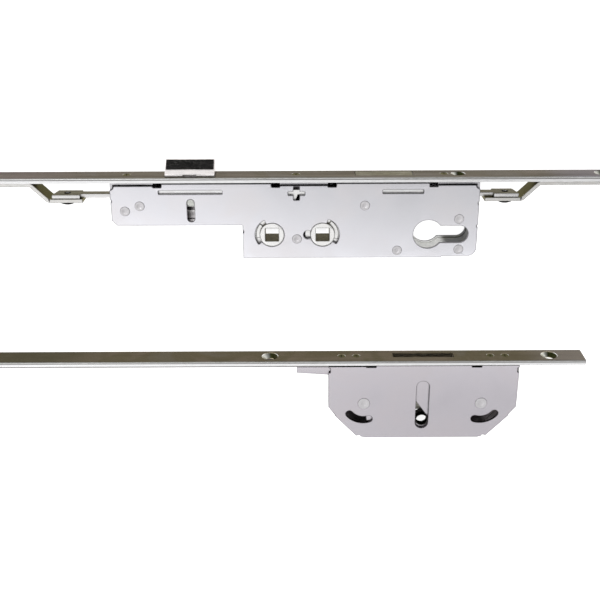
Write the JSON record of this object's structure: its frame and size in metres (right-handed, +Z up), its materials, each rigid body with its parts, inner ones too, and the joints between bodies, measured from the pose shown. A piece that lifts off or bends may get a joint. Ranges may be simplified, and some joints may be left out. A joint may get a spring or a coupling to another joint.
{
  "type": "multipoint door lock",
  "caption": "Mortice multipoint door lock: lever gearbox with latch, deadbolt and key cylinder hole, drive bars on a long faceplate, and a hook bolt case.",
  "frame": {"origin": "middle of the lock's own box in X and Y, at the height of the surface the lock lies on", "axes": "+X along both faceplates, from the latch towards the key cylinder; +Y the way the latch, the deadbolt and the hooks come out; +Z up from the table, through the case covers"},
  "size_m": [0.4164, 0.1825, 0.016],
  "materials": {
    "strip": "brushed rolled steel strip with a dull protective coat",
    "zinc": "pale grey zinc plate",
    "bright": "bright nickel plate",
    "bar": "plain drawn steel, lightly oiled",
    "bolt_steel": "rough zinc-plated steel",
    "pad": "rough black low-friction plastic"
  },
  "bodies": {
    "case": {"main_faceplate": "strip", "gearbox_floor": "zinc", "gearbox_rim": "zinc", "gearbox_cover": "zinc", "case_rivets": "bright", "faceplate_screws": "bright", "cylinder_liner": "bright", "hook_faceplate": "strip", "hook_tray": "zinc", "hook_cover": "zinc", "hook_pivots": "bright", "hook_screws": "bright"},
    "drive": {"drive_slide": "zinc", "left_rod_end": "bright", "right_rod_end": "bright", "left_drive_bar": "bar", "right_drive_bar": "bar", "link_rivets": "bar"},
    "latch": {"latch_bolt": "bright", "latch_pad": "pad", "latch_springs": "bolt_steel", "latch_carriage": "zinc"},
    "latch_spindle": {"latch_hub": "bright"},
    "lock_spindle": {"lock_hub": "bright"},
    "bolt": {"deadbolt": "bolt_steel"},
    "key_catch": {"key_slide": "zinc"},
    "hook_drive": {"hook_rail": "bar", "rail_rivets": "bright", "cam_plate": "zinc"},
    "carriage": {"lift_carriage": "bright"},
    "hook_left": {"left_hook": "bolt_steel"},
    "hook_right": {"right_hook": "bolt_steel"}
  },
  "joints": [
    {"name": "drive_travel", "type": "slide", "parent": "case", "child": "drive", "axis": [1, 0, 0], "range_m": [0, 0.01571]},
    {"name": "lock_spindle_turn", "type": "hinge", "parent": "case", "child": "lock_spindle", "pos_m": [0.0227, 0.04765, 0.008], "axis": [0, 0, 1], "range_deg": [-40.02, 0]},
    {"name": "bolt_throw", "type": "slide", "parent": "case", "child": "bolt", "axis": [0, 1, 0], "range_m": [0, 0.01571]},
    {"name": "hook_rail_travel", "type": "slide", "parent": "case", "child": "hook_drive", "axis": [1, 0, 0], "range_m": [0, 0.01571]},
    {"name": "hook_lift", "type": "slide", "parent": "case", "child": "carriage", "axis": [0, 1, 0], "range_m": [0, 0.02201]},
    {"name": "left_hook_swing", "type": "hinge", "parent": "case", "child": "hook_left", "pos_m": [0.0496, -0.06625, 0.008], "axis": [0, 0, 1], "range_deg": [0, 49.27]},
    {"name": "right_hook_swing", "type": "hinge", "parent": "case", "child": "hook_right", "pos_m": [0.1244, -0.06625, 0.008], "axis": [0, 0, 1], "range_deg": [-49.27, 0]},
    {"name": "latch_draw", "type": "slide", "parent": "case", "child": "latch", "axis": [0, -1, 0], "range_m": [0, 0.008], "stiffness_N_per_m": 600, "springref_m": -0.008, "deforming": ["latch_springs"]},
    {"name": "latch_spindle_turn", "type": "hinge", "parent": "case", "child": "latch_spindle", "pos_m": [-0.0073, 0.04765, 0.008], "axis": [0, 0, 1], "range_deg": [0, 38.21]},
    {"name": "key_lift", "type": "slide", "parent": "case", "child": "key_catch", "axis": [0, 1, 0], "range_m": [0, 0.0036]}
  ],
  "couplings": [
    {"joint": "lock_spindle_turn", "follows": "drive_travel", "rad_per_m": -44.444},
    {"joint": "bolt_throw", "follows": "drive_travel", "ratio": 1},
    {"joint": "hook_rail_travel", "follows": "drive_travel", "ratio": 1},
    {"joint": "hook_lift", "follows": "drive_travel", "ratio": 1.4006},
    {"joint": "left_hook_swing", "follows": "drive_travel", "rad_per_m": 54.719},
    {"joint": "right_hook_swing", "follows": "drive_travel", "rad_per_m": -54.719},
    {"joint": "latch_spindle_turn", "follows": "latch_draw", "rad_per_m": 83.333}
  ]
}
